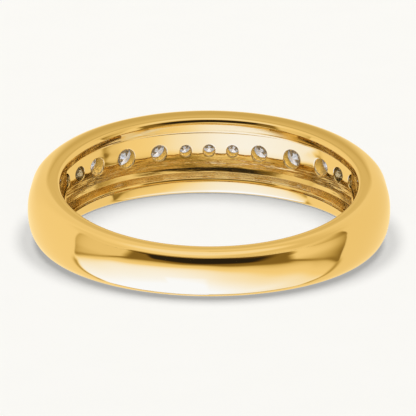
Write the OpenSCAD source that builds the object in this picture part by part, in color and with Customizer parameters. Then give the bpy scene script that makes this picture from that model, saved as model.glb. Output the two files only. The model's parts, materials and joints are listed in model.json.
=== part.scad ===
// Domed band ring that lies on one flat side, with a hollow behind its head
// and one row of round stones along the head.
// The finger hole stands up, the head points along +Y and the shank along -Y.

/* [Finger hole] */
// Radius of the finger hole
finger_r = 8.25; // [7.8:0.05:9.5]
// Softened corner between the finger hole and the flat sides
corner_soft = 0.22; // [0.12:0.01:0.3]

/* [Band] */
// Width across the flat sides at the middle of the head
head_w = 4.6; // [4.4:0.1:5.2]
// Width across the flat sides at the middle of the shank
shank_w = 2.7; // [2.3:0.1:3.4]
// Metal from the finger hole to the crest, at the middle of the head
head_t = 2.3; // [2.2:0.05:2.6]
// Metal from the finger hole to the crest, at the middle of the shank
shank_t = 1.4; // [1.2:0.05:1.8]
// Radial width of the flat sides, before the dome begins
flat_w = 0.62; // [0.5:0.02:0.8]
// Fullness of the head's dome: 2 is an ellipse and more is squarer
head_fullness = 3; // [2.4:0.1:3.6]
// Fullness of the shank's dome
shank_fullness = 2.25; // [2:0.05:2.8]
// How far the head's shoulders stand proud of an even round
shoulder_lift = 0.16; // [0.05:0.01:0.2]

/* [Hollow behind the head] */
// Depth of the hollow under the finger hole's wall
hollow_depth = 0.95; // [0.7:0.05:1.1]
// Height of the hollow, from rail to rail
hollow_h = 2.9; // [2.4:0.1:3]
// Fillet along the hollow's floor
hollow_fillet = 0.35; // [0.2:0.05:0.5]
// Angle from the middle of the head to each end of the hollow
hollow_end = 75; // [71:1:80]

/* [Stones] */
// Radius on which the stones' girdles lie
girdle_r = 10.15; // [10.1:0.01:10.2]
// Width of the channel's floor
channel_w = 2.1; // [2:0.05:2.3]
// Depth of the channel's floor over the girdles
channel_over_girdle = 0.1; // [0.06:0.01:0.15]
// Largest grain bead
bead_r = 0.24; // [0.16:0.01:0.26]

/* [Hidden] */

// One row for each stone from the middle of the head to its end, alike on both sides
ANGLE = 0;  // column: angle from the middle of the head, in degrees
ACROSS = 1; // column: diameter of the stone
HOLE = 2;   // column: radius of the open hole behind it
half_row = [
    [0, 1.25, 0.34],
    [8.3, 1.25, 0.34],
    [18, 1.5, 0.46],
    [30.7, 1.9, 0.55],
    [43.5, 1.5, 0.5],
    [52.4, 1.3, 0.4],
    [60.9, 1.3, 0.4]];
last = len(half_row) - 1;
row = [for (k = [-last:last]) let (s = half_row[abs(k)])
    [k < 0 ? -s[ANGLE] : s[ANGLE], s[ACROSS], s[HOLE]]];

// Angles from the middle of the head where the shoulders rise, peak and end
shoulder_rise = 20;
shoulder_peak = 69;
shoulder_end = 82;
// Angles between which the dome goes over from the head's to the shank's
dome_from = 35;
dome_to = 80;

flat_r = finger_r + flat_w;
taper = atan((head_w - shank_w) / 2 / (2 * flat_r));
mean_half_w = (head_w + shank_w) / 4;
off_centre = (head_t - shank_t) / 2;
hollow_r = finger_r + hollow_depth;
channel_r = girdle_r + channel_over_girdle;

// The loft's steps round the finger and round the dome, and its inner wall, which the hole takes away
steps_round = 120;
steps_dome = 22;
loft_in_r = finger_r - 0.6;
air = 2;       // how far a cutter runs on outside the metal
seat_gap = 0.02; // clearance between a stone and its seat
fine = 96;
joint_sink = 0.04;

// Proportions of a round brilliant, as shares of its diameter
TABLE = 0.28;
GIRDLE = 0.03;
CROWN_TILT = 34.5;
PAVILION_TILT = 40.75;
STAR = 0.379;
LOWER_HALF = 0.115;

function smooth(x) = let (c = max(0, min(1, x))) c * c * (3 - 2 * c);
function from_head(a) = a <= 180 ? a : 360 - a;
function shoulder(h) = h < shoulder_peak
    ? smooth((h - shoulder_rise) / (shoulder_peak - shoulder_rise))
    : smooth((shoulder_end - h) / (shoulder_end - shoulder_peak));
function crest_t(a) = (head_t + shank_t) / 2 + off_centre * cos(a) + shoulder_lift * shoulder(from_head(a));
function fullness(a) = shank_fullness
    + (head_fullness - shank_fullness) * smooth((dome_to - from_head(a)) / (dome_to - dome_from));
function half_w(y) = mean_half_w + y * tan(taper);
function signed_pow(v, e) = sign(v) * pow(abs(v), e);
function polar(r, a, z) = [r * sin(a), r * cos(a), z];
// A point of the band's surface at angle a from the head, r out, and share of the half width there
function side_point(r, a, share) = polar(r, a, share * half_w(r * cos(a)));
function dome_point(a, t) = let (e = 2 / fullness(a))
    side_point(flat_r + (crest_t(a) - flat_w) * pow(cos(t), e), a, signed_pow(sin(t), e));
function section(a) = concat(
    [side_point(loft_in_r, a, -1), side_point(loft_in_r, a, 1)],
    [for (k = [0:steps_dome]) dome_point(a, 90 - k * 180 / steps_dome)]);

// Stands the ring on its lower flat side, with its outline centred over the origin
module lay() {
    translate([0, -off_centre * cos(taper), mean_half_w * cos(taper)])
        rotate([taper, 0, 0]) children();
}

// Turns something that stands on the XY plane outward, at angle a from the head and radius r
module outward(a, r) {
    rotate([0, 0, -a]) translate([0, r, 0]) rotate([-90, 0, 0]) children();
}

module blank() {
    n = steps_dome + 3;
    pts = [for (k = [0:steps_round - 1]) each section(k * 360 / steps_round)];
    faces = [for (k = [0:steps_round - 1], j = [0:n - 1])
        let (k2 = (k + 1) % steps_round, j2 = (j + 1) % n)
        each [[k * n + j, k * n + j2, k2 * n + j2], [k * n + j, k2 * n + j2, k2 * n + j]]];
    polyhedron(points = pts, faces = faces, convexity = 6);
}

// Rounds the corner between the finger hole and the upper flat side
module soft_corner() {
    s = corner_soft;
    arc = [for (t = [0:30:90]) [finger_r + s - s * cos(t), -s + s * sin(t)]];
    start = arc[0] - 0.3 * (arc[1] - arc[0]);
    end = arc[3] + 0.3 * (arc[3] - arc[2]);
    translate([0, 0, mean_half_w]) rotate([taper, 0, 0])
        rotate_extrude($fn = fine)
            polygon(concat([[finger_r - s, start[1]], start], [arc[1], arc[2]],
                [end, [end[0], s], [finger_r - s, s]]));
}

module hollow() {
    h = hollow_h / 2;
    f = hollow_fillet;
    upper = [for (t = [90:-30:0]) [hollow_r - f + f * cos(t), h - f + f * sin(t)]];
    lower = [for (t = [0:-30:-90]) [hollow_r - f + f * cos(t), -h + f + f * sin(t)]];
    rotate([0, 0, 90 - hollow_end])
        rotate_extrude(angle = 2 * hollow_end, $fn = fine)
            polygon(concat([[finger_r - air, -h], [finger_r - air, h]], upper, lower));
}

// The channel's half angle leaves a little floor past the last stone
channel_end = half_row[last][ANGLE] + (half_row[last][ACROSS] / 2 + 0.4) / girdle_r * 180 / PI;
module channel() {
    w = channel_w / 2;
    flare = air * tan(25);
    rotate([0, 0, 90 - channel_end])
        rotate_extrude(angle = 2 * channel_end, $fn = fine)
            polygon([[channel_r, -w], [channel_r + air, -w - flare],
                [channel_r + air, w + flare], [channel_r, w]]);
}

// The seat under a stone's girdle and pavilion, and the open hole behind it
module seat(s) {
    r = s[ACROSS] / 2 + seat_gap;
    drop = GIRDLE * s[ACROSS] + seat_gap;
    cone = (r - s[HOLE]) * tan(PAVILION_TILT);
    outward(s[ANGLE], girdle_r)
        rotate_extrude($fn = 48)
            polygon([[0, -air], [s[HOLE], -air], [s[HOLE], -drop - cone], [r, -drop], [r, air], [0, air]]);
}

// Grain beads between a stone and the next one, or past the last one
module beads(a, b) {
    ra = a[ACROSS] / 2;
    rb = b[ACROSS] / 2;
    pitch = (b[ANGLE] - a[ANGLE]) * PI / 180 * channel_r;
    along = ra + (pitch - ra - rb) / 2;
    up = 0.36 * (ra + rb);
    r = min(bead_r, norm([along, up]) - ra, norm([pitch - along, up]) - rb) - seat_gap;
    for (side = [-1, 1])
        rotate([0, 0, -a[ANGLE] - along / channel_r * 180 / PI])
            translate([0, channel_r - joint_sink, side * up]) sphere(r = r, $fn = 24);
}

module brilliant(d) {
    crown = (0.5 - TABLE) * tan(CROWN_TILT);
    star_z = (0.5 - STAR * cos(22.5)) * tan(CROWN_TILT);
    lower_z = (0.5 - LOWER_HALF * cos(22.5)) * tan(PAVILION_TILT);
    culet = 0.5 * tan(PAVILION_TILT);
    function ring(n, r, z, turn) = [for (k = [0:n - 1]) [r * cos(k * 360 / n + turn), r * sin(k * 360 / n + turn), z]];
    pts = concat(
        ring(8, TABLE, crown, 0),              // 0 to 7, the table's corners
        ring(8, STAR, star_z, 22.5),           // 8 to 15, the stars' tips
        ring(16, 0.5, 0, 0),                   // 16 to 31, the girdle's upper edge
        ring(16, 0.5, -GIRDLE, 0),             // 32 to 47, the girdle's lower edge
        ring(8, LOWER_HALF, -GIRDLE - lower_z, 22.5), // 48 to 55, the lower halves' tips
        [[0, 0, -GIRDLE - culet]]);            // 56, the culet
    table = [[for (k = [7:-1:0]) k]];
    crown_faces = [for (k = [0:7]) let (n = (k + 1) % 8, p = (k + 7) % 8, g = 16 + 2 * k, m = 17 + 2 * k,
            q = 16 + (2 * k + 2) % 16)
        each [[k, n, 8 + k], [k, 8 + k, g], [k, g, 8 + p], [8 + k, m, g], [8 + k, q, m]]];
    girdle = [for (k = [0:15]) let (n = (k + 1) % 16)
        each [[16 + k, 16 + n, 32 + k], [16 + n, 32 + n, 32 + k]]];
    pavilion = [for (k = [0:7]) let (p = (k + 7) % 8, g = 32 + 2 * k, m = 33 + 2 * k, q = 32 + (2 * k + 2) % 16)
        each [[g, 48 + k, 56], [g, 56, 48 + p], [g, m, 48 + k], [m, q, 48 + k]]];
    scale(d) polyhedron(points = pts, faces = concat(table, crown_faces, girdle, pavilion), convexity = 2);
}

module band() color("goldenrod") lay() {
    difference() {
        union() {
            difference() {
                blank();
                channel();
            }
            for (k = [0:len(row) - 2]) beads(row[k], row[k + 1]);
        }
        cylinder(h = 2 * head_w, r = finger_r, center = true, $fn = fine);
        soft_corner();
        mirror([0, 0, 1]) soft_corner();
        hollow();
        for (s = row) seat(s);
    }
}

// The stones are numbered from the -X end of the row to its +X end
module stone(k) color("white") lay() outward(row[k - 1][ANGLE], girdle_r) brilliant(row[k - 1][ACROSS]);
module stone_01() stone(1);
module stone_02() stone(2);
module stone_03() stone(3);
module stone_04() stone(4);
module stone_05() stone(5);
module stone_06() stone(6);
module stone_07() stone(7);
module stone_08() stone(8);
module stone_09() stone(9);
module stone_10() stone(10);
module stone_11() stone(11);
module stone_12() stone(12);
module stone_13() stone(13);

band();
stone_01();
stone_02();
stone_03();
stone_04();
stone_05();
stone_06();
stone_07();
stone_08();
stone_09();
stone_10();
stone_11();
stone_12();
stone_13();
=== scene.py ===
import json
import math

import bpy
import numpy as np
from mathutils import Matrix, Vector, noise

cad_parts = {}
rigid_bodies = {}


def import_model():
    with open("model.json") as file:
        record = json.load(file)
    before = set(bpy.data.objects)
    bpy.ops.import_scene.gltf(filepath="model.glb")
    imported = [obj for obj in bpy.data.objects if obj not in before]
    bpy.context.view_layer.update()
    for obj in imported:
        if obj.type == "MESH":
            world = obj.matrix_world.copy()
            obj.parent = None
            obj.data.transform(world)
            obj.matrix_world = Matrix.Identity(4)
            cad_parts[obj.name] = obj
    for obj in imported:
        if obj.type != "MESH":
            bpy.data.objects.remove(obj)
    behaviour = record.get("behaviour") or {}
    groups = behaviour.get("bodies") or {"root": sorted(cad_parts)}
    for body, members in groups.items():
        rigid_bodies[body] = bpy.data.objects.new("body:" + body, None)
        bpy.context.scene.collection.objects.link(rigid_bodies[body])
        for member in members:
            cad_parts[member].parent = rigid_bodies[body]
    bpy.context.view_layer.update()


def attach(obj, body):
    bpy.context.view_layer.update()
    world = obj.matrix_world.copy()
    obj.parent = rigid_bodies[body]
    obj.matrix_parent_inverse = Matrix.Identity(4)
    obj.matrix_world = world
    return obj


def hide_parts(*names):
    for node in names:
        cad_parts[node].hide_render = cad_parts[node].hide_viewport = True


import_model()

# Metres in a millimetre
MM = 0.001

# Driving sizes, in millimetres and degrees, as the part's source gives them
FINGER_R = 8.25
CORNER_SOFT = 0.22
HEAD_W, SHANK_W = 4.6, 2.7
HEAD_T, SHANK_T = 2.3, 1.4
FLAT_W = 0.62
HEAD_FULLNESS, SHANK_FULLNESS = 3, 2.25
SHOULDER_LIFT = 0.16
SHOULDER_RISE, SHOULDER_PEAK, SHOULDER_END = 20, 69, 82
DOME_FROM, DOME_TO = 35, 80
HOLLOW_R = FINGER_R + 0.95
HOLLOW_END = 75
GIRDLE_R = 10.15
CHANNEL_R = GIRDLE_R + 0.1
CHANNEL_HALF_W = 1.05
CHANNEL_FLARE = math.tan(math.radians(25))
SEAT_GAP = 0.02
GIRDLE_SHARE = 0.03
PAVILION_SLOPE = math.tan(math.radians(40.75))
BEAD_R = 0.24
BEAD_SINK = 0.04
BEAD_ASIDE = 0.36

# The stones from the middle of the head to its end: angle, diameter, radius of the hole behind
HALF_ROW = [(0, 1.25, 0.34), (8.3, 1.25, 0.34), (18, 1.5, 0.46), (30.7, 1.9, 0.55),
            (43.5, 1.5, 0.5), (52.4, 1.3, 0.4), (60.9, 1.3, 0.4)]
ROW = [(-a, d, h) for a, d, h in HALF_ROW[:0:-1]] + HALF_ROW

FLAT_R = FINGER_R + FLAT_W
TAPER = math.atan((HEAD_W - SHANK_W) / 2 / (2 * FLAT_R))
MEAN_HALF_W = (HEAD_W + SHANK_W) / 4
OFF_CENTRE = (HEAD_T - SHANK_T) / 2
LAST_ANGLE, LAST_ACROSS = HALF_ROW[-1][:2]
CHANNEL_END = LAST_ANGLE + math.degrees((LAST_ACROSS / 2 + 0.4) / GIRDLE_R)

# The hollow's section, as stretches of a length that turn evenly to a lean: upwards from the middle of
# its floor, and downwards from where the floor starts to turn. The steps are the mesh's rows on each
# stretch, past the windows.
UPPER_PATH = [(1.052, 0), (0.01, -18), (0.045, -18), (0.01, 0), (0.545, 90), (0.572, 90), (0.083, -5)]
LOWER_PATH = [(0.33, 5), (0.06, 12), (0.4, 12.5), (0.37, 16), (0.04, 28), (0.22, 33), (0.04, 72),
              (0.49, 72), (0.09, 6)]
UPPER_STEPS = (3, 1, 1, 1, 8, 6, 4)
LOWER_STEPS = (0, 0, 0, 3, 2, 4, 2, 7, 4)
FLOOR_TURN = 0.2
TRACE_STEP = 0.004

# The rails beside the hollow face up a little, the lower one more so towards its top, and the upper one
# turns over in a worn chamfer
RAIL_LEAN = 5
LOW_RAIL_LEANS = (1.5, 7)
FLAT_CROWN = 0.003
CORNER_PATH = [(0.06, 10), (0.05, 22), (0.1, 28), (0.1, 60), (0.08, 90)]
CORNER_STEPS = (2, 2, 3, 4, 4)

# The mesh's columns: their widths in millimetres, how close in degrees to the channel's and the
# hollow's ends the nearest ones lie, and how far clear of both ends the ones between them stay
COLUMN_STEP = 0.11
SHANK_STEP = 0.25
SHANK_R = FINGER_R + 0.7
BEFORE_CHANNEL_END = (0.9, 0.75, 0.6, 0.45, 0.3, 0.15, 0)
BEFORE_HOLLOW_END = (1, 0.94, 0.82, 0.66, 0.5, 0.34, 0.18, 0.06, 0)
AFTER_HOLLOW_END = (0.3, 0.9)
CLEAR_OF_CHANNEL, CLEAR_OF_HOLLOW = 0.3, 1.3
BETWEEN_ENDS = 9

# The mesh's rows, the angles over which a section passes from one form to the next, and the rounds in
# which the dome's radius and the channel's edge are found
RAIL_ROWS = 6
LOWER_CORNER_ROWS = 9
FLAT_ROWS = 5
DOME_ROWS = 26
DOME_SAMPLES = 900
LAST_DOME_ROW = 0.03
CHANNEL_WALL_ROWS = (0.2, 0.6)
CHANNEL_FADE, HOLLOW_FADE = 0.8, 1
SHANK_FROM, SHANK_FADE = 0.2, 9
RADIUS_ROUNDS, EDGE_ROUNDS = 30, 40

# A window round each hole, its rings, the hole's soft lip, and small steps that keep an edge crisp.
# The rows down a seat and a hole are shares of the way, and those round the lip are angles.
WINDOW_HALF = 0.75
WINDOW_ROWS = 20
EYE_RINGS = 4
EYE_CROWDING = 1.3
LIP = 0.04
SEAT_MARGIN = 0.02
SEAT_BEVEL = 0.006
SEAT_EDGE = 0.02
LEDGE_EDGE = 0.015
SEAT_ROWS = (0.04, 0.35, 0.65, 0.96)
HOLE_ROWS = (0.2, 0.4, 0.6, 0.8)
LIP_TURNS = (0, 30, 60)
BEAD_RINGS, BEAD_SIDES = 9, 18
BEAD_LATITUDE = 88


def smooth(x):
    """From 0 to 1 with level ends."""
    c = np.clip(x, 0, 1)
    return c * c * (3 - 2 * c)


def rise(x, start, width):
    """0 up to the start and 1 from this width past it."""
    return smooth((x - start) / width)


def fall(x, end, width):
    """1 until this width before the end, and 0 from the end on."""
    return smooth((end - x) / width)


def above(x, edge, width):
    """0 below a soft edge and 1 above it, half on it."""
    return smooth((x - edge) / width + 0.5)


def below(x, edge, width):
    """1 below a soft edge and 0 above it, half on it."""
    return smooth((edge - x) / width + 0.5)


def mix(a, b, share):
    """From a to b by this share."""
    return a + (b - a) * share


def crest_t(a):
    """The band's thickness at its crest, most at the head, with a small lift at each shoulder."""
    h = np.abs(a)
    before = rise(h, SHOULDER_RISE, SHOULDER_PEAK - SHOULDER_RISE)
    after = fall(h, SHOULDER_END, SHOULDER_END - SHOULDER_PEAK)
    lift = SHOULDER_LIFT * np.where(h < SHOULDER_PEAK, before, after)
    return (HEAD_T + SHANK_T) / 2 + OFF_CENTRE * np.cos(np.radians(a)) + lift


def fullness(a):
    """How square the dome's section is: full at the head and rounder at the shank."""
    return mix(SHANK_FULLNESS, HEAD_FULLNESS, fall(np.abs(a), DOME_TO, DOME_TO - DOME_FROM))


def half_w(r, a):
    """Half the band's width, which grows evenly from the shank's side to the head's."""
    return MEAN_HALF_W + r * np.cos(np.radians(a)) * math.tan(TAPER)


def dome_r(z, a):
    """Radius of the domed outside at height z, found by a few rounds because the width changes with it."""
    r = np.full(np.broadcast(z, a).shape, FLAT_R)
    n = fullness(a)
    for _ in range(RADIUS_ROUNDS):
        share = np.clip(np.abs(z) / half_w(r, a), 0, 1)
        r = FLAT_R + (crest_t(a) - FLAT_W) * (1 - share ** n) ** (1 / n)
    return r


def polar(r, a, z):
    """Points in the ring frame, where the head's middle is at angle 0."""
    t = np.radians(a)
    return np.stack(np.broadcast_arrays(r * np.sin(t), r * np.cos(t), z), -1)


def lay(points):
    """Ring frame in millimetres to the row frame in metres: the ring lies on its lower flat side."""
    c, s = math.cos(TAPER), math.sin(TAPER)
    turn = np.array([[1, 0, 0], [0, c, -s], [0, s, c]])
    return (points @ turn.T + np.array([0, -OFF_CENTRE * c, MEAN_HALF_W * c])) * MM


def trace(path, start, lean, inward, up):
    """Points of a section as length, radius and height: each stretch turns evenly to its own lean."""
    s, r, z = [0], [start[0]], [start[1]]
    for length, end in path:
        steps = max(2, int(length / TRACE_STEP))
        for k in range(steps):
            now = math.radians(lean + (end - lean) * (k + 0.5) / steps)
            s.append(s[-1] + length / steps)
            r.append(r[-1] - inward * math.sin(now) * length / steps)
            z.append(z[-1] + up * math.cos(now) * length / steps)
        lean = end
    return np.array([s, r, z])


def steps_along(traced, path, counts, start=0):
    """Radius and height at even steps along each stretch of a section, past its given start."""
    stops = np.cumsum([length for length, _ in path])
    places = []
    for stop, count in zip(stops, counts):
        places += list(np.linspace(start, stop, count + 1)[1:])
        start = stop if count else start
    return np.interp(places, traced[0], traced[1]), np.interp(places, traced[0], traced[2])


UPPER = trace(UPPER_PATH, (HOLLOW_R, 0), 0, 1, 1)
LOWER = trace(LOWER_PATH, (HOLLOW_R, FLOOR_TURN), 0, 1, -1)
CORNER = trace(CORNER_PATH, (0, 0), RAIL_LEAN, -1, 1)


def floor_r(z):
    """Radius of the hollow's floor at height z, within the windows round the holes."""
    return np.interp(-z, -LOWER[2], LOWER[1], left=HOLLOW_R)


class Surface:
    """Points and quads that are gathered piece by piece and then become one mesh."""

    def __init__(self):
        self.points = []
        self.quads = []
        self.count = 0

    def add(self, points):
        """Takes the points in and gives back the index of each, in the same shape."""
        shape = points.shape[:-1]
        self.points.append(points.reshape(-1, 3))
        index = np.arange(self.count, self.count + math.prod(shape)).reshape(shape)
        self.count += math.prod(shape)
        return index

    def grid(self, index, keep=None):
        """Quads between neighbouring rows and columns, or only those that are kept."""
        quads = np.stack([index[:-1, :-1], index[1:, :-1], index[1:, 1:], index[:-1, 1:]], -1)
        self.quads.append(quads[keep] if keep is not None else quads.reshape(-1, 4))

    def loops(self, loops):
        """Closed loops of as many points each, joined one to the next."""
        self.grid(np.array([np.append(loop, loop[0]) for loop in loops])[:, ::-1])


def cell_edges():
    """Angles halfway between neighbouring stones' edges, and as far past the end stones."""
    edges = []
    for (a, da, _), (b, db, _) in zip(ROW, ROW[1:]):
        pitch = math.radians(b - a) * CHANNEL_R
        along = da / 2 + (pitch - da / 2 - db / 2) / 2
        edges.append(a + math.degrees(along / CHANNEL_R))
    last = 2 * LAST_ANGLE - edges[-1]
    return [-last] + edges + [last]


def columns():
    """Angles of the mesh's columns, and the column at each cell's edge."""
    edges = cell_edges()
    angles = [edges[0]]
    marks = [0]
    for a, b in zip(edges, edges[1:]):
        count = round(math.radians(b - a) * CHANNEL_R / COLUMN_STEP)
        angles += list(np.linspace(a, b, count + 1)[1:])
        marks.append(len(angles) - 1)
    past = [CHANNEL_END - x for x in BEFORE_CHANNEL_END]
    between = (CHANNEL_END + CLEAR_OF_CHANNEL, HOLLOW_END - CLEAR_OF_HOLLOW)
    past += list(np.linspace(*between, BETWEEN_ENDS))
    past += [HOLLOW_END - x for x in BEFORE_HOLLOW_END]
    past += [HOLLOW_END + x for x in AFTER_HOLLOW_END]
    count = round(math.radians(180 - past[-1]) * SHANK_R / SHANK_STEP)
    shank = list(np.linspace(past[-1], 180, count + 1)[1:])
    angles = [-x for x in shank[-2::-1]] + [-x for x in past[::-1]] + angles + past + shank
    shift = len(shank) - 1 + len(past)
    return np.array(angles), [m + shift for m in marks]


def hollow_section():
    """Radius and height up the hollow's section, and how many of its points lie below the windows."""
    window = np.linspace(-WINDOW_HALF, WINDOW_HALF, WINDOW_ROWS + 1)
    low_start = np.interp(WINDOW_HALF, -LOWER[2], LOWER[0])
    high_start = np.interp(WINDOW_HALF, UPPER[2], UPPER[0])
    low_r, low_z = steps_along(LOWER, LOWER_PATH, LOWER_STEPS, low_start)
    high_r, high_z = steps_along(UPPER, UPPER_PATH, UPPER_STEPS, high_start)
    r = np.concatenate([low_r[::-1], floor_r(window), high_r])
    z = np.concatenate([low_z[::-1], window, high_z])
    return r, z, len(low_z)


def inner_rows(a):
    """Radius and height of the finger hole's wall with the hollow, from the lower rail to the upper."""
    r, z, below_window = hollow_section()
    h = np.abs(a)[:, None]
    open_share = fall(h, HOLLOW_END, HOLLOW_FADE)
    z = mix(np.linspace(z[0], z[-1], len(z)), z, 1 - (1 - open_share) ** 2)

    shank = rise(h - HOLLOW_END, SHANK_FROM, SHANK_FADE)
    low_end = CORNER_SOFT - half_w(FINGER_R, a)[:, None]
    high_end = half_w(FINGER_R + CORNER[1, -1], a)[:, None] - CORNER[2, -1]
    share = np.linspace(0, 1, RAIL_ROWS + 1)[:-1]
    low = mix(low_end, z[:, :1], share)
    high = mix(high_end, z[:, -1:], share)[:, ::-1]
    foot, top = np.tan(np.radians(LOW_RAIL_LEANS))
    low_rise = (1 - shank) * (z[:, :1] - low_end) * (foot * share + (top - foot) * share ** 2 / 2)
    low_edge = (1 - shank) * (z[:, :1] - low_end) * (foot + top) / 2
    high_rise = (1 - shank) * (high - z[:, -1:]) * math.tan(math.radians(RAIL_LEAN))
    r = FINGER_R + mix(low_edge * np.linspace(1, 0, len(r)), r - FINGER_R, open_share)
    z = np.concatenate([low, z, high], 1)
    z = mix(z, mix(z[:, :1], z[:, -1:], np.linspace(0, 1, z.shape[1])), shank)
    r = np.concatenate([FINGER_R + low_rise, r, FINGER_R + high_rise], 1)
    first = below_window + RAIL_ROWS
    return r, z, (first, first + WINDOW_ROWS)


def upper_corner(a, start_r):
    """From the upper rail over its worn chamfer to the flat side, without the rail's last point."""
    r, z = steps_along(CORNER, CORNER_PATH, CORNER_STEPS)
    r = start_r + r
    return r, half_w(r, a[:, None]) + (z - CORNER[2, -1])


def lower_corner(a):
    """From the lower flat side over the softened corner, without the rail's first point."""
    t = np.radians(np.linspace(0, 90, LOWER_CORNER_ROWS + 1)[:-1])
    r = FINGER_R + CORNER_SOFT * (1 - np.sin(t)) + 0 * a[:, None]
    return r, CORNER_SOFT * (1 - np.cos(t)) - half_w(r, a[:, None])


def flat_rows(a, start_r, crown=0):
    """The flat side from the corner's end outwards, without its first point."""
    share = np.linspace(0, 1, FLAT_ROWS + 1)[1:]
    r = mix(start_r, FLAT_R, share)
    return r, half_w(r, a[:, None]) - crown * (1 - share) ** 2


def dome_rows(a):
    """From the flat side over the dome to the channel's edge, or where that would be."""
    q = np.linspace(0, 1, DOME_SAMPLES)[None, :]
    t = np.radians(90 - 90 * q ** 2)
    e = 2 / fullness(a)[:, None]
    r = FLAT_R + (crest_t(a)[:, None] - FLAT_W) * np.cos(t) ** e
    r[:, 0] = FLAT_R
    z = half_w(r, a[:, None]) * np.sin(t) ** e
    inside = np.minimum(np.abs(a), CHANNEL_END)
    edge = np.full_like(a, CHANNEL_HALF_W)
    for _ in range(EDGE_ROUNDS):
        edge = CHANNEL_HALF_W + (dome_r(edge, inside) - CHANNEL_R) * CHANNEL_FLARE
    rows_r, rows_z = [], []
    for k in range(len(a)):
        s = np.concatenate([[0], np.cumsum(np.hypot(np.diff(r[k]), np.diff(z[k])))])
        end = np.interp(-edge[k], -z[k], s)
        places = end * np.linspace(0, 1, DOME_ROWS + 1)[1:]
        places = np.append(places[:-1], [end - LAST_DOME_ROW, end])
        rows_r.append(np.interp(places, s, r[k]))
        rows_z.append(np.interp(places, s, z[k]))
    return np.array(rows_r), np.array(rows_z), edge


def channel_rows(a, edge):
    """Across the channel, or the dome's crest past its ends, without the two edge points."""
    wall = mix(edge[:, None], CHANNEL_HALF_W, np.array(CHANNEL_WALL_ROWS))
    floor = np.linspace(CHANNEL_HALF_W, -CHANNEL_HALF_W, WINDOW_ROWS + 1) + 0 * a[:, None]
    z = np.concatenate([wall, floor, -wall[:, ::-1]], 1)
    cut = CHANNEL_R + np.maximum(np.abs(z) - CHANNEL_HALF_W, 0) / CHANNEL_FLARE
    share = fall(np.abs(a)[:, None], CHANNEL_END, CHANNEL_FADE)
    first = len(CHANNEL_WALL_ROWS)
    return mix(dome_r(z, a[:, None]), cut, share), z, (first, first + WINDOW_ROWS)


def window_loop(index, cols, rows):
    """The indices round one window of the grid, and how many lie on each of its sides."""
    (c0, c1), (r0, r1) = cols, rows
    loop = np.concatenate([index[c0:c1, r0], index[c1, r0:r1], index[c1:c0:-1, r1], index[c0, r1:r0:-1]])
    return loop, (c1 - c0, r1 - r0)


def circle_angles(sides, corner):
    """Angles of the points on the round that face a window's points, from its first corner on."""
    corners = [-math.pi + corner, -corner, corner, math.pi - corner, math.pi + corner]
    counts = [sides[0], sides[1], sides[0], sides[1]]
    return np.concatenate([np.linspace(a, b, n + 1)[:-1] for a, b, n in zip(corners, corners[1:], counts)])


def eye(surface, loop, flat_loop, stone, radius, angles, radius_at):
    """Rings between a window's edge and a round of the given radius about the stone's axis."""
    u = radius * np.cos(angles)
    w = radius * np.sin(angles)
    r = radius_at(w)
    target = np.stack([stone[0] + np.degrees(np.arcsin(u / r)), w], -1)
    loops = [loop]
    for k in range(1, EYE_RINGS + 1):
        share = 1 - (1 - k / EYE_RINGS) ** EYE_CROWDING
        place = mix(flat_loop, target, share)
        loops.append(surface.add(polar(radius_at(place[:, 1]), place[:, 0], place[:, 1])))
    surface.loops(loops)
    return loops[-1]


def seat(surface, stone, outer, inner, angles):
    """The stone's seat and the open hole behind it, from the channel's floor to the hollow's."""
    a, across, hole = stone
    r = across / 2 + SEAT_GAP
    girdle = GIRDLE_R - GIRDLE_SHARE * across - SEAT_GAP
    ledge = girdle - (r - hole) * PAVILION_SLOPE
    t = math.radians(a)
    out = np.array([math.sin(t), math.cos(t), 0])
    side = np.array([math.cos(t), -math.sin(t), 0])
    up = np.array([0, 0, 1])

    def ring(radius, level):
        u, w = radius * np.cos(angles), radius * np.sin(angles)
        level = level(u, w) if callable(level) else np.full_like(u, level)
        return surface.add(level[:, None] * out + u[:, None] * side + w[:, None] * up)

    def below_channel(drop):
        return lambda u, w: np.sqrt(CHANNEL_R ** 2 - u ** 2) - drop

    def above_floor(lift):
        return lambda u, w: np.sqrt(floor_r(w) ** 2 - u ** 2) + lift

    loops = [outer, ring(r + SEAT_BEVEL, below_channel(SEAT_BEVEL)), ring(r, below_channel(SEAT_EDGE))]
    loops += [ring(r, girdle)]
    loops += [ring(mix(r, hole, s), mix(girdle, ledge, s)) for s in SEAT_ROWS]
    loops += [ring(hole, ledge - LEDGE_EDGE)]
    for s in HOLE_ROWS:
        loops.append(ring(hole, lambda u, w, s=s: mix(ledge - LEDGE_EDGE, above_floor(LIP)(u, w), s)))
    for deg in LIP_TURNS:
        soft = math.radians(deg)
        loops.append(ring(hole + LIP * (1 - math.cos(soft)), above_floor(LIP * (1 - math.sin(soft)))))
    surface.loops(loops + [inner])


def bead(surface, a, up, r):
    """A grain bead: a ball sunk a little into the channel's floor."""
    t = math.radians(a)
    out = np.array([math.sin(t), math.cos(t), 0])
    side = np.array([math.cos(t), -math.sin(t), 0])
    centre = out * (CHANNEL_R - BEAD_SINK) + np.array([0, 0, up])
    turn = np.radians(-np.arange(BEAD_SIDES) * 360 / BEAD_SIDES)
    loops = []
    for k in range(BEAD_RINGS + 1):
        lat = math.radians(-BEAD_LATITUDE + 2 * BEAD_LATITUDE * k / BEAD_RINGS)
        u, w = r * math.cos(lat) * np.cos(turn), r * math.cos(lat) * np.sin(turn)
        loops.append(surface.add(centre + math.sin(lat) * r * out + u[:, None] * side
                                 + w[:, None] * np.array([0, 0, 1])))
    surface.loops(loops)
    for loop, pole in ((loops[0], -1), (loops[-1], 1)):
        tip = surface.add((centre + pole * r * out)[None, :])[0]
        after = np.roll(loop, -1)
        cap = [[i, j, tip, tip] if pole > 0 else [j, i, tip, tip] for i, j in zip(loop, after)]
        surface.quads.append(np.array(cap))


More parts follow.
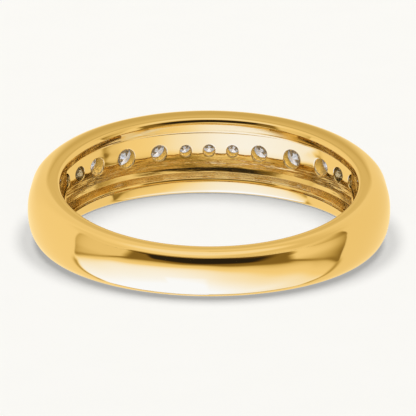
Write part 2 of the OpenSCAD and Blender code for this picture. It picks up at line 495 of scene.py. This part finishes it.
def beads(surface):
    """Two beads between each stone and the next, one above the row's middle and one below it."""
    for (a, da, _), (b, db, _) in zip(ROW, ROW[1:]):
        ra, rb = da / 2, db / 2
        pitch = math.radians(b - a) * CHANNEL_R
        along = ra + (pitch - ra - rb) / 2
        up = BEAD_ASIDE * (ra + rb)
        r = min(BEAD_R, math.hypot(along, up) - ra, math.hypot(pitch - along, up) - rb) - SEAT_GAP
        for sign in (-1, 1):
            bead(surface, a + math.degrees(along / CHANNEL_R), sign * up, r)


def flip(loop, sides):
    """The same loop told the other way round in height, so that it meets the channel's loops."""
    n, m = sides
    return loop[(2 * n + m - np.arange(len(loop))) % len(loop)]


def add_seats(surface, index, a, flat, marks, hollow_rows, floor_rows):
    """Each stone's seat and hole, let into a window in the channel's floor and one in the hollow's."""
    for stone, cols in zip(ROW, zip(marks, marks[1:])):
        half = math.radians(a[cols[1]] - a[cols[0]]) / 2
        inner_loop, sides = window_loop(index, cols, hollow_rows)
        outer_loop, _ = window_loop(index, cols, floor_rows)
        # Both loops start at the column before the stone; the hollow's rows rise and the channel's fall
        corner = math.atan2(0.5 * (WINDOW_HALF + CHANNEL_HALF_W), half * CHANNEL_R)
        angles = circle_angles(sides, corner)
        inner = eye(surface, inner_loop, flat[inner_loop], stone, stone[2] + LIP, angles, floor_r)
        seat_r = stone[1] / 2 + SEAT_GAP + SEAT_MARGIN
        outer = eye(surface, outer_loop, flat[outer_loop], stone, seat_r, -angles,
                    lambda w: np.full_like(w, CHANNEL_R))
        seat(surface, stone, outer, flip(inner, sides), -angles)


def build_band():
    """The whole band as points in the ring frame and quads."""
    a, marks = columns()
    in_r, in_z, hollow_rows = inner_rows(a)
    top_r, top_z = upper_corner(a, in_r[:, -1:])
    upper_r, upper_z = flat_rows(a, top_r[:, -1:], FLAT_CROWN)
    low_r, low_z = lower_corner(a)
    lower_r, lower_z = flat_rows(a, low_r[:, :1])
    dome_radius, dome_z, edge = dome_rows(a)
    cha_r, cha_z, floor_rows = channel_rows(a, edge)
    before = [in_r, top_r, upper_r, dome_radius]
    r = np.concatenate(before + [cha_r, dome_radius[:, ::-1], lower_r[:, ::-1], low_r], 1)
    z = np.concatenate([in_z, top_z, upper_z, dome_z, cha_z, -dome_z[:, ::-1], -lower_z[:, ::-1], low_z], 1)
    surface = Surface()
    index = surface.add(polar(r, a[:, None], z))
    closed = np.concatenate([index, index[:1]], 0)
    closed = np.concatenate([closed, closed[:, :1]], 1)
    keep = np.ones((closed.shape[0] - 1, closed.shape[1] - 1), bool)
    floor_at = sum(rows.shape[1] for rows in before)
    floor_rows = tuple(j + floor_at for j in floor_rows)
    for cols in zip(marks, marks[1:]):
        for rows in (hollow_rows, floor_rows):
            keep[cols[0]:cols[1], rows[0]:rows[1]] = False
    surface.grid(closed, keep)
    flat = np.stack([np.broadcast_to(a[:, None], z.shape), z], -1).reshape(-1, 2)
    add_seats(surface, index, a, flat, marks, hollow_rows, floor_rows)
    beads(surface)
    return np.concatenate(surface.points), np.concatenate(surface.quads)


def area_normals(points, quads):
    """Normals at the points, the larger faces counting for more, so that small roundings take the turn."""
    p = points[quads]
    face = np.cross(p[:, 2] - p[:, 0], p[:, 3] - p[:, 1])
    normals = np.zeros_like(points)
    for k in range(4):
        np.add.at(normals, quads[:, k], face)
    return normals / np.maximum(np.linalg.norm(normals, axis=1, keepdims=True), 1e-12)


# Where the band's looks differ: how far in from the rails' face the hollow's skin sets in, the heights
# between which it turns as-cast, the groove's lower edge, and the holes whose walls are satin
SKIN_FROM, SKIN_FADE = 0.07, 0.06
SKIN_BOTTOM = 0.1
FLOOR_MARGIN = 0.01
CAST_FROM, CAST_FULL = -0.15, -0.6
GROOVE_END, GROOVE_FADE = -1.16, 0.03
SATIN_END, SATIN_FADE = 50, 10
SATIN_DEPTH = 0.03
HOLE_REACH = 0.9


def in_hollow(points):
    """How far a point belongs to the hollow behind the head and not to the rails."""
    r = np.hypot(points[:, 0], points[:, 1])
    low, high = LOWER[2].min() + SKIN_BOTTOM, UPPER[2].max()
    inside = (r < HOLLOW_R + FLOOR_MARGIN) & (points[:, 2] > low) & (points[:, 2] < high)
    return rise(r - FINGER_R, SKIN_FROM, SKIN_FADE) * inside


def cast_share(points):
    """How much of the as-cast skin a point has: full in the lower part of the hollow."""
    return in_hollow(points) * fall(points[:, 2], CAST_FROM, CAST_FROM - CAST_FULL)


def matte_share(points):
    """Where the cast skin is at its dullest: the hollow's lower wall."""
    return in_hollow(points) * fall(points[:, 2], GROOVE_END, GROOVE_FADE)


def drilled_share(points):
    """The satin walls of the holes behind the stones: full near the head's middle, none at its ends."""
    r = np.hypot(points[:, 0], points[:, 1])
    a = np.degrees(np.arctan2(points[:, 0], points[:, 1]))
    inside = rise(r - HOLLOW_R, FLOOR_MARGIN, SATIN_DEPTH) * (r < GIRDLE_R)
    return inside * fall(np.abs(a), SATIN_END, SATIN_FADE) * (np.abs(points[:, 2]) < HOLE_REACH)


def sheet_places(points):
    """Length round the ring, height and radius, for marks that run along the band."""
    r = np.hypot(points[:, 0], points[:, 1])
    return np.stack([np.arctan2(points[:, 0], points[:, 1]) * FINGER_R, points[:, 2], r], -1)


def make_mesh(name, points, quads, normals):
    """An object of these quads, where a quad that repeats a point becomes a triangle."""
    faces = [tuple(dict.fromkeys(q)) for q in quads.tolist()]
    mesh = bpy.data.meshes.new(name)
    mesh.from_pydata(points, [], faces)
    mesh.shade_smooth()
    mesh.normals_split_custom_set_from_vertices(normals)
    piece = bpy.data.objects.new(name, mesh)
    bpy.context.scene.collection.objects.link(piece)
    return piece


# Colours: the gold's own, its satin hole walls', plain gold as it looks in the studio, and the backdrop
GOLD = (0.83, 0.68, 0.39)
DRILLED_GOLD = (0.98, 0.58, 0.11)
GOLD_SHOWN = (0.896, 0.584, 0.178)
PAPER = (0.956, 0.947, 0.913)

# Surfaces: roughness of the polish between two limits and of the other skins, how metallic the hole
# walls are, depths of bumps in metres, and how the stones bend light and let it through
POLISH_ROUGH = (0.03, 0.06)
CAST_ROUGH = 0.13
MATTE_ROUGH = 0.17
DRILLED_ROUGH = 0.3
DRILLED_METAL = 0.15
CAST_BUMP = 0.000014
WEAR_BUMP = 0.000004
STONE_INDEX = 2.42
STONE_CLEAR = 0.84

# The skin's relief: depths in millimetres, how closely the marks follow each other along and across the
# band, and where the dents towards the hollow's ends lie, in radians
SWELL, GRAIN, DENT = 0.008, 0.004, 0.009
SWELL_SCALES, GRAIN_SCALES, DENT_SCALES = (0.9, 1.6), (1.6, 5), (1.3, 2.4)
DENTS_FROM, DENTS_TO, DENTS_FADE = 0.5, 1.15, 0.15

# Studio, in metres, degrees and watts
FLOOR_DROP = 0.00001
BACKDROP_R = 0.85
STUDIO_FAR = 1.2
STUDIO_CLOSE = 0.055
BAND_FRONT_R = 0.01
BAND_FRONT_Z = 0.0018
STUDIO_STEP, COARSE_STEP = 0.8, 5
FILL = 0.446
LAMP_FAR = 0.6
LAMP_SIZE = (0.2, 0.5)
LAMP_POWER = 1.25
LAMP_LEANS = (14, 4)
HOLE_LAMP_EL = 38
HOLE_LAMP_FAR = 0.3
HOLE_LAMP_SIZE = 0.18
HOLE_LAMP_POWER = 0.42


def relief(place, scales, layer):
    """Smooth noise at a place on the band's sheet, in a layer of its own."""
    return noise.noise(Vector((place[0] * scales[0], place[1] * scales[1], layer)))


def roughen(points, normals):
    """The as-cast skin's swells and grain, and dents in the hollow towards both its ends."""
    share = cast_share(points)
    sheet = sheet_places(points)
    place = np.abs(sheet[:, 0]) / FINGER_R
    ends = in_hollow(points) * rise(place, DENTS_FROM, DENTS_FADE) * fall(place, DENTS_TO, DENTS_FADE)
    moved = points.copy()
    for i in np.nonzero(share + ends > 0)[0]:
        swell = relief(sheet[i], SWELL_SCALES, 0) * SWELL
        grain = relief(sheet[i], GRAIN_SCALES, 5) * GRAIN
        dent = relief(sheet[i], DENT_SCALES, 9) * DENT
        moved[i] += normals[i] * (share[i] * (swell + grain) + ends[i] * dent)
    return moved


def join(tree, kind, inputs=None, **settings):
    """A node of this kind, its settings made and each named input given a value or a socket."""
    node = tree.nodes.new(kind)
    for key, value in settings.items():
        setattr(node, key, value)
    for key, value in (inputs or {}).items():
        if isinstance(value, bpy.types.NodeSocket):
            tree.links.new(value, node.inputs[key])
        else:
            node.inputs[key].default_value = value
    return node


def new_material(name):
    """An empty material and its node tree."""
    material = bpy.data.materials.new(name)
    material.use_nodes = True
    tree = material.node_tree
    tree.nodes.clear()
    return material, tree


def ramp(tree, factor, stops):
    """A colour ramp's output, between two stops of a place and a colour each."""
    node = join(tree, "ShaderNodeValToRGB", {"Fac": factor})
    elements = node.color_ramp.elements
    for element, (place, colour) in zip(elements, stops):
        element.position = place
        element.color = colour
    return node.outputs["Color"]


def attribute(tree, name, output="Fac"):
    """What the mesh says at each point under this name."""
    return join(tree, "ShaderNodeAttribute", attribute_name=name).outputs[output]


def drawn_out(tree, where, scale):
    """Places pressed together along the band, so that marks on them come out long that way."""
    return join(tree, "ShaderNodeMapping", {"Vector": where, "Scale": (scale, 1, 1)}).outputs["Vector"]


def cloud(tree, where, scale, detail):
    """Soft noise over the given places."""
    inputs = {"Vector": where, "Scale": scale, "Detail": detail}
    return join(tree, "ShaderNodeTexNoise", inputs).outputs["Fac"]


def remap(tree, value, limits):
    """The value brought to other limits, each input by its own name."""
    return join(tree, "ShaderNodeMapRange", {"Value": value, **limits}).outputs["Result"]


def blend(tree, share, a, b, **settings):
    """From a to b by this share."""
    return join(tree, "ShaderNodeMix", {"Factor": share, "A": a, "B": b}, **settings).outputs["Result"]


def combine(tree, operation, a, b):
    """Two values added or multiplied."""
    return join(tree, "ShaderNodeMath", {0: a, 1: b}, operation=operation).outputs["Value"]


def finish_material(tree, shader):
    """Sends a shader's only output to the surface."""
    join(tree, "ShaderNodeOutputMaterial", {"Surface": shader.outputs[0]})


def gold_material():
    """Polished yellow gold with faint wear along the band, as-cast or satin where the mesh says so."""
    material, tree = new_material("yellow_gold_worn_polish")
    sheet = attribute(tree, "sheet", "Vector")
    cast, matte, drilled = (attribute(tree, name) for name in ("as_cast", "matte", "drilled"))

    wear = cloud(tree, sheet, 0.9, 3.0)
    least, most = POLISH_ROUGH
    polish = remap(tree, wear, {"From Min": 0.3, "From Max": 0.7, "To Min": least, "To Max": most})
    skin = blend(tree, cast, polish, CAST_ROUGH)
    dull = blend(tree, matte, skin, MATTE_ROUGH)
    rough = blend(tree, drilled, dull, DRILLED_ROUGH)

    grains = cloud(tree, drawn_out(tree, sheet, 0.2), 4.0, 2.5)
    threads = cloud(tree, drawn_out(tree, sheet, 0.09), 7.0, 3.0)
    height = combine(tree, "MULTIPLY", cast, combine(tree, "ADD", grains, threads))
    lumps = join(tree, "ShaderNodeBump", {"Height": height, "Strength": 1.0, "Distance": CAST_BUMP})
    fine = cloud(tree, drawn_out(tree, sheet, 0.05), 14.0, 3.0)
    marks = join(tree, "ShaderNodeBump", {"Height": fine, "Strength": 0.05, "Distance": WEAR_BUMP,
                                          "Normal": lumps.outputs["Normal"]})

    tone = blend(tree, drilled, (*GOLD, 1), (*DRILLED_GOLD, 1), data_type="RGBA")
    metal = remap(tree, drilled, {"To Min": 1.0, "To Max": DRILLED_METAL})
    shader = join(tree, "ShaderNodeBsdfPrincipled", {"Base Color": tone, "Metallic": metal,
                                                     "Roughness": rough, "Normal": marks.outputs["Normal"]})
    finish_material(tree, shader)
    return material


def stone_material():
    """A clear cut stone: strong refraction, a faint cloud and hardly any tint."""
    material, tree = new_material("clear_cut_stone")
    where = join(tree, "ShaderNodeTexCoord").outputs["Object"]
    tint = ramp(tree, cloud(tree, where, 2500.0, 2.0),
                [(0.35, (0.97, 0.975, 0.98, 1)), (0.7, (0.93, 0.94, 0.95, 1))])
    shader = join(tree, "ShaderNodeBsdfPrincipled", {"Base Color": tint, "Roughness": 0.0, "IOR": STONE_INDEX,
                                                     "Transmission Weight": STONE_CLEAR})
    finish_material(tree, shader)
    return material


def paper_material():
    """The plain pale floor, with a trace of paper grain."""
    material, tree = new_material("pale_paper")
    where = join(tree, "ShaderNodeTexCoord").outputs["Object"]
    tone = ramp(tree, cloud(tree, where, 300.0, 2.0),
                [(0.3, (0.90, 0.892, 0.86, 1)), (0.7, (0.906, 0.897, 0.866, 1))])
    shader = join(tree, "ShaderNodeBsdfPrincipled", {"Base Color": tone, "Roughness": 0.9,
                                                     "Specular IOR Level": 0.1})
    finish_material(tree, shader)
    return material


def glow_material(name):
    """Shines in the colours that its mesh carries."""
    material, tree = new_material(name)
    shine = join(tree, "ShaderNodeEmission", {"Color": attribute(tree, "glow", "Color"), "Strength": 1.0})
    finish_material(tree, shine)
    material.cycles.emission_sampling = "NONE"
    return material


# The studio as the gold sees it. Azimuth runs from the viewer to the right, elevation upwards, in
# degrees. Levels are 0 for black, 1 for plain gold and 2 for blown-out white, and each colour darkens
# and pales by its own power, over a faint veil of its own in the dark.
DARK_POWERS = (1.6, 1.95, 3.3)
DARK_VEIL = (0, 0.008, 0.005)
PALE_POWERS = (0.4, 0.8, 1.05)
BROWN, BLACK, EDGE_LINE, BEHIND = 0.42, 0.1, 0.66, 0.76

# The studio's front part ends here: how far behind the ring, as a share of the way, at each elevation
EDGE_EL = [-90, -60, -50, -40, -30, -20, -5, 10, 25, 40]
EDGE_LEFT = [0.28, 0.32, 0.25, 0.19, 0.135, 0.075, 0.012, 0.02, 0.065, 0.14]
EDGE_RIGHT = [0.28, 0.23, 0.165, 0.105, 0.07, 0.045, 0.05, 0.09, 0.16, 0.2]

# The pale card below: where it turns from gold to cream, and how fast on its left and on its right
CARD_AZ = [-90, -76, -62, -50, -32, -2, 10, 22, 40, 64, 80, 90]
CARD_TOP = [-21, -16.5, -9.5, -6.5, -2, -2, -8, -12, -21, -26.5, -38, -43]
DEPTH_LEFT, PALE_LEFT = [0, 3, 6, 9, 15, 27, 42], [1, 1.25, 1.45, 1.55, 1.65, 1.8, 2]
DEPTH_RIGHT, PALE_RIGHT = [0, 3, 9, 12, 21, 33, 70], [1, 1.05, 1.22, 1.28, 1.38, 1.56, 2]

# A dark line between the card and the walls at its sides
STREAK_AZ = [-92, -80, -68, -56, -50, 40, 46, 58, 64, 76, 84, 92]
STREAK_EL = [-18.5, -13, -5.8, 5, 10, 9, 5, -5.3, -10, -16.8, -20.6, -25.5]
STREAK_DARK = [0.59, 0.68, 0.69, 0.5, 0.44, 0.4, 0.4, 0.48, 0.54, 0.6, 0.5, 0.46]

# The dark screen above it, its black middle and its brown ends
SCREEN_AZ = [-58, -48, -44, -38, -30, -20, 0, 12, 30, 40, 48, 56]
SCREEN_LOW = [0, 6.5, 9.5, 11.8, 12.2, 10.2, 9.8, 5, 1.5, -2, -4.5, -8]
SCREEN_HIGH = [47, 48.7, 48.5, 49, 49.1, 48.5, 47, 46.5, 41.3, 38, 35.5, 31.5]
BLACK_AZ = [-52, -47, -42, -39, -36, -30, -20, -10, 10, 20, 30, 44]
BLACK_LOW = [41, 38, 34, 29, 23.5, 21, 18, 15.8, 15.2, 14.3, 13.5, 13]
BLACK_HIGH = [43, 42.6, 43, 43.2, 43.2, 43, 41.8, 40, 40.7, 36.5, 34, 31]


def bump_at(x, place, width):
    """1 at the place, fading to both sides."""
    return np.exp(-((x - place) / width) ** 2)


def curve(x, places, values):
    """A smooth curve through the given places, level past its ends."""
    places, values = np.array(places, float), np.array(values, float)
    x = np.clip(x, places[0], places[-1])
    k = np.clip(np.searchsorted(places, x, side="right") - 1, 0, len(places) - 2)
    slope = np.gradient(values, places)
    span = places[k + 1] - places[k]
    t = (x - places[k]) / span
    start = (1 + 2 * t) * (1 - t) ** 2 * values[k] + t * (1 - t) ** 2 * slope[k] * span
    end = t * t * (3 - 2 * t) * values[k + 1] + t * t * (t - 1) * slope[k + 1] * span
    return start + end


def card_level(az, el):
    """The pale card in front, from its upper edge down, and the fade from gold to dark above it."""
    depth = curve(az, CARD_AZ, CARD_TOP) - el
    left = np.interp(depth, DEPTH_LEFT, PALE_LEFT)
    right = np.interp(depth, DEPTH_RIGHT, PALE_RIGHT)
    pale = mix(left, right, rise(az, -35, 70))
    pale = pale + 0.14 * fall(el, -25, 4) * rise(az, -30, 3) * fall(az, 1, 5)
    reach = mix(24, 34, rise(az, -10, 50)) + 14 * rise(az, 70, 12)
    return np.where(depth > 0, np.minimum(pale, 2), 1 - (depth / reach) ** 2)


def around_level(az, el):
    """The rest of the studio: close to plain gold, paler overhead, a little darker straight behind."""
    h = np.abs(az)
    left = mix(1, 0.965, rise(h, 125, 30) * rise(el, -5, 15))
    right = mix(mix(0.965, 0.9, rise(el, 42, 20)), 0.97, rise(el, 70, 12))
    level = mix(left, right, rise(az, -10, 40))
    level = level - 0.06 * bump_at(el, 49, 7) * rise(h, 60, 8) * fall(h, 130, 15)
    level = level + 0.03 * fall(el, -4, 18) * rise(h, 115, 50)
    level = level + 0.2 * rise(el, 62, 14)
    return mix(level, BEHIND, rise(h, 168, 9) * fall(el, 33.5, 4) * rise(el, 4, 8))


def side_level(az, el, depth, around):
    """The front part's two sides, darker towards where it ends behind the ring."""
    left = 0.94 - 0.2 * np.exp(-depth / 4) - 0.05 * fall(el, 5, 12)
    right = 1 - 0.42 * np.exp(-depth / 9) - 0.17 * fall(el, 10, 25)
    right = right - 0.14 * bump_at(el, 29, 7) * rise(az, 64, 14)
    return mix(np.where(az < 0, left, right), around, rise(el, 36, 12))


def with_streak(level, az, el, streak):
    """The dark line between the card and the sides."""
    dark = curve(az, STREAK_AZ, STREAK_DARK)
    wide = np.where(az < 0, 2.6, np.where(el < streak, 2.1, 3.2))
    return mix(level, np.minimum(level, dark), bump_at(el, streak, wide) * rise(np.abs(az), 44, 6))


def with_screen(level, az, el):
    """The dark screen over the card, brown with a black middle whose right end leans outwards."""
    low, high = curve(az, SCREEN_AZ, SCREEN_LOW), curve(az, SCREEN_AZ, SCREEN_HIGH)
    left_end = -53 - 6 * rise(el, 33, 11)
    right_end = 52 + 4 * rise(el, 17, 8)
    brown = above(el, low, 9) * below(el, high, 10) * above(az, left_end, 8) * below(az, right_end, 8)
    level = mix(level, BROWN, brown)
    low, high = curve(az, BLACK_AZ, BLACK_LOW), curve(az, BLACK_AZ, BLACK_HIGH)
    black_end = 32 + 0.67 * (el - 16)
    black = above(el, low, 8) * below(el, high, 8) * rise(az, -55, 8) * below(az, black_end, 16)
    return mix(level, BLACK, black)


def studio_level(az, el):
    """The level from each direction: the front part with its card, sides and screen, and the rest."""
    around = around_level(az, el)
    behind = -np.cos(np.radians(el)) * np.cos(np.radians(az))
    edge = np.where(az < 0, curve(el, EDGE_EL, EDGE_LEFT), curve(el, EDGE_EL, EDGE_RIGHT))
    inside = np.degrees(edge - behind)
    streak = curve(az, STREAK_AZ, STREAK_EL)
    side = side_level(az, el, np.maximum(inside, 0), around)
    side_share = above(el, streak, 2) * rise(np.abs(az), 46, 6)
    level = mix(card_level(az, el), side, np.maximum(side_share, rise(el, 28, 8)))
    level = with_screen(with_streak(level, az, el, streak), az, el)

    level = mix(around, level, above(inside, 0, mix(1.2, 9, rise(el, 33, 10))))
    line = bump_at(inside, 0.2, 2.4) * fall(el, -21, 8)
    return mix(level, np.minimum(level, EDGE_LINE), line)


def studio(az, el):
    """Light from each direction: the tone that the gold is to show, divided by the gold's own colour."""
    level = studio_level(az, el)
    tones = []
    kinds = zip(GOLD, GOLD_SHOWN, PAPER, DARK_POWERS, DARK_VEIL, PALE_POWERS)
    for base, gold, white, dark, veil, pale in kinds:
        darker = gold * np.clip(level, BLACK, 1) ** dark + veil * np.clip(1 - level, 0, 1)
        paler = mix(gold, white, np.clip(level - 1, 0, 1) ** pale)
        tones.append(np.where(level < 1, darker, paler) / base)
    return np.stack(tones, -1)


def ball(az, el, radius):
    """Points on a ball round the ring."""
    a, e = np.radians(az), np.radians(el)
    return radius * np.stack([np.cos(e) * np.sin(a), -np.cos(e) * np.cos(a), np.sin(e)], -1)


def studio_walls(az, el):
    """A ball that comes close to the ring at its two sides, placed as the band's front sees it."""
    close = fall(np.abs(np.abs(az) - 90), 45, 40)
    reach = STUDIO_FAR * (STUDIO_CLOSE / STUDIO_FAR) ** close
    half = np.radians(az / 2)
    foot = BAND_FRONT_R * fall(np.abs(az), 160, 50)
    start = np.stack([foot * np.sin(half), -foot * np.cos(half), BAND_FRONT_Z + 0 * az], -1)
    return start + ball(az, el, reach[..., None])


def dome_mesh(name, place, az_lines, el_lines, colour_of):
    """Quads all round the ring, with a colour at each corner point."""
    az, el = np.meshgrid(az_lines, el_lines, indexing="ij")
    points = place(az, el)
    surface = Surface()
    surface.grid(surface.add(points))
    mesh = bpy.data.meshes.new(name)
    mesh.from_pydata(surface.points[0], [], surface.quads[0].tolist())
    glow = mesh.attributes.new("glow", "FLOAT_COLOR", "POINT")
    colours = np.concatenate([colour_of(az, el).reshape(-1, 3), np.ones((az.size, 1))], 1)
    glow.data.foreach_set("color", colours.astype(np.float32).ravel())
    piece = bpy.data.objects.new(name, mesh)
    bpy.context.scene.collection.objects.link(piece)
    return piece


def only_seen_by(piece, *rays):
    """Hides a piece or a lamp from all other kinds of rays."""
    for ray in ("camera", "diffuse", "glossy", "transmission", "volume_scatter", "shadow"):
        setattr(piece, f"visible_{ray}", ray in rays)


def stone_light(az, el):
    """Soft uneven white for the stones, brighter from above."""
    uneven = np.sin(np.radians(5 * az)) * np.sin(np.radians(6 * el + 40))
    level = 0.78 + 0.2 * uneven + 0.8 * rise(el, 35, 25)
    return np.stack([level, level, level * 1.02], -1)


def directions(end, fine_end, step):
    """Directions from -end to end, close together up to fine_end and this step apart past it."""
    outer = np.arange(-end, -fine_end, step)
    fine = np.arange(-fine_end, fine_end + 0.1, STUDIO_STEP)
    return np.concatenate([outer, fine, -outer[::-1]])


def add_dome(name, place, az_lines, el_lines, colour_of, ray):
    """A shining dome that one kind of ray meets."""
    dome = dome_mesh(name, place, az_lines, el_lines, colour_of)
    dome.data.materials.append(glow_material(f"{name}_glow"))
    only_seen_by(dome, ray)
    return dome


def add_studio():
    """Three domes: what the gold reflects, what shines through the stones, and what the camera sees."""
    az_lines, el_lines = directions(180, 112, 4), directions(90, 60, 3)
    coarse_az, coarse_el = np.arange(-180, 181, COARSE_STEP), np.arange(-90, 91, COARSE_STEP)
    return [
        add_dome("studio_for_gold", studio_walls, az_lines, el_lines, studio, "glossy"),
        add_dome("studio_for_stones", lambda az, el: ball(az, el, STUDIO_FAR), coarse_az, coarse_el,
                 stone_light, "transmission"),
        add_dome("backdrop", lambda az, el: ball(az, el, BACKDROP_R), coarse_az, coarse_el,
                 lambda az, el: PAPER + 0 * az[..., None], "camera")]


def add_floor():
    """A round pale floor just under the ring, neither mirrored nor seen through the stones."""
    bpy.ops.mesh.primitive_circle_add(vertices=96, radius=BACKDROP_R, fill_type="NGON",
                                      location=(0, 0, -FLOOR_DROP))
    floor = bpy.context.object
    floor.name = "floor"
    floor.data.materials.append(paper_material())
    floor.visible_glossy = False
    floor.visible_transmission = False
    return floor


def add_world():
    """An even fill for surfaces that scatter light, whose rays pass the domes."""
    world = bpy.data.worlds.new("even_fill")
    world.use_nodes = True
    background = world.node_tree.nodes["Background"]
    background.inputs["Color"].default_value = (1, 1, 1, 1)
    background.inputs["Strength"].default_value = FILL
    bpy.context.scene.world = world


def add_floor_lamp(name, side):
    """One of two soft long lamps over the ring, set to its side and behind it, for the floor's shadows."""
    data = bpy.data.lights.new(name, "AREA")
    data.shape = "ELLIPSE"
    data.size, data.size_y = LAMP_SIZE
    data.energy = LAMP_POWER
    lamp = bpy.data.objects.new(name, data)
    aside, behind = LAMP_LEANS
    lamp.rotation_euler = (-math.radians(behind), math.radians(side * aside), 0)
    lamp.location = lamp.rotation_euler.to_matrix() @ Vector((0, 0, LAMP_FAR))
    only_seen_by(lamp, "diffuse", "shadow")
    bpy.context.scene.collection.objects.link(lamp)


# The camera, fitted to the ring's outline in the photograph
CAMERA_EL = 19.09
CAMERA_FAR = 400
CAMERA_ROLL = 0.18
PIXELS_PER_MM = 17.933
PHOTO_SIDE = 416
AIM_PIXELS = (-0.936, 3.389)
SENSOR = 36
CAMERA_CLIP = (0.01, 10)


def add_camera():
    """A far camera, aimed past the ring's centre by a few pixels of the photograph."""
    el, roll = math.radians(CAMERA_EL), math.radians(CAMERA_ROLL)
    back = Vector((0, -math.cos(el), math.sin(el)))
    level = Vector((1, 0, 0))
    right = math.cos(roll) * level + math.sin(roll) * back.cross(level)
    up = back.cross(right)
    centre = Vector(lay(np.array([0, 0, 0]))) / MM
    aim = centre + (right * AIM_PIXELS[0] + up * AIM_PIXELS[1]) / PIXELS_PER_MM
    data = bpy.data.cameras.new("camera")
    data.sensor_width = SENSOR
    data.lens = SENSOR * CAMERA_FAR * PIXELS_PER_MM / PHOTO_SIDE
    data.clip_start, data.clip_end = CAMERA_CLIP
    camera = bpy.data.objects.new("camera", data)
    turn = Matrix((right, up, back)).transposed().to_4x4()
    camera.matrix_world = Matrix.Translation((aim + back * CAMERA_FAR) * MM) @ turn
    bpy.context.scene.collection.objects.link(camera)
    bpy.context.scene.camera = camera


def add_hole_lamp(band):
    """A soft lamp in front and above, which only the satin walls of the holes feel."""
    data = bpy.data.lights.new("hole_lamp", "AREA")
    data.shape = "DISK"
    data.size = HOLE_LAMP_SIZE
    data.energy = HOLE_LAMP_POWER
    lamp = bpy.data.objects.new("hole_lamp", data)
    lean = math.radians(90 - HOLE_LAMP_EL)
    lamp.location = (0, -HOLE_LAMP_FAR * math.sin(lean), HOLE_LAMP_FAR * math.cos(lean))
    lamp.rotation_euler = (lean, 0, 0)
    only_seen_by(lamp, "diffuse", "shadow")
    bpy.context.scene.collection.objects.link(lamp)
    lit = bpy.data.collections.new("lit_by_hole_lamp")
    lit.objects.link(band)
    lamp.light_linking.receiver_collection = lit


def add_band():
    """The gold band in place of the CAD one, with what its material needs at each point."""
    points, quads = build_band()
    normals = area_normals(points, quads)
    placed = lay(roughen(points, normals))
    piece = make_mesh("gold_band", placed, quads, area_normals(placed, quads))
    for name, share in (("as_cast", cast_share), ("matte", matte_share), ("drilled", drilled_share)):
        layer = piece.data.attributes.new(name, "FLOAT", "POINT")
        layer.data.foreach_set("value", share(points).astype(np.float32))
    sheet = piece.data.attributes.new("sheet", "FLOAT_VECTOR", "POINT")
    sheet.data.foreach_set("vector", sheet_places(points).astype(np.float32).ravel())
    piece.data.materials.append(gold_material())
    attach(piece, "root")
    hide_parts("band")
    piece.visible_diffuse = False
    return piece


def dress_stones():
    """The CAD stones stay as they are and get the clear material."""
    clear = stone_material()
    for number in range(1, len(ROW) + 1):
        stone = bpy.data.objects[f"stone_{number:02d}"]
        stone.data.materials.clear()
        stone.data.materials.append(clear)


def main():
    """Everything in the scene, and how it is shown."""
    add_camera()
    add_hole_lamp(add_band())
    dress_stones()
    add_floor()
    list(add_studio())
    add_world()
    add_floor_lamp("left_lamp", -1)
    add_floor_lamp("right_lamp", 1)
    bpy.context.scene.cycles.caustics_reflective = False
    bpy.context.scene.cycles.caustics_refractive = True
    view = bpy.context.scene.view_settings
    view.view_transform = "Standard"
    view.look = "None"


main()
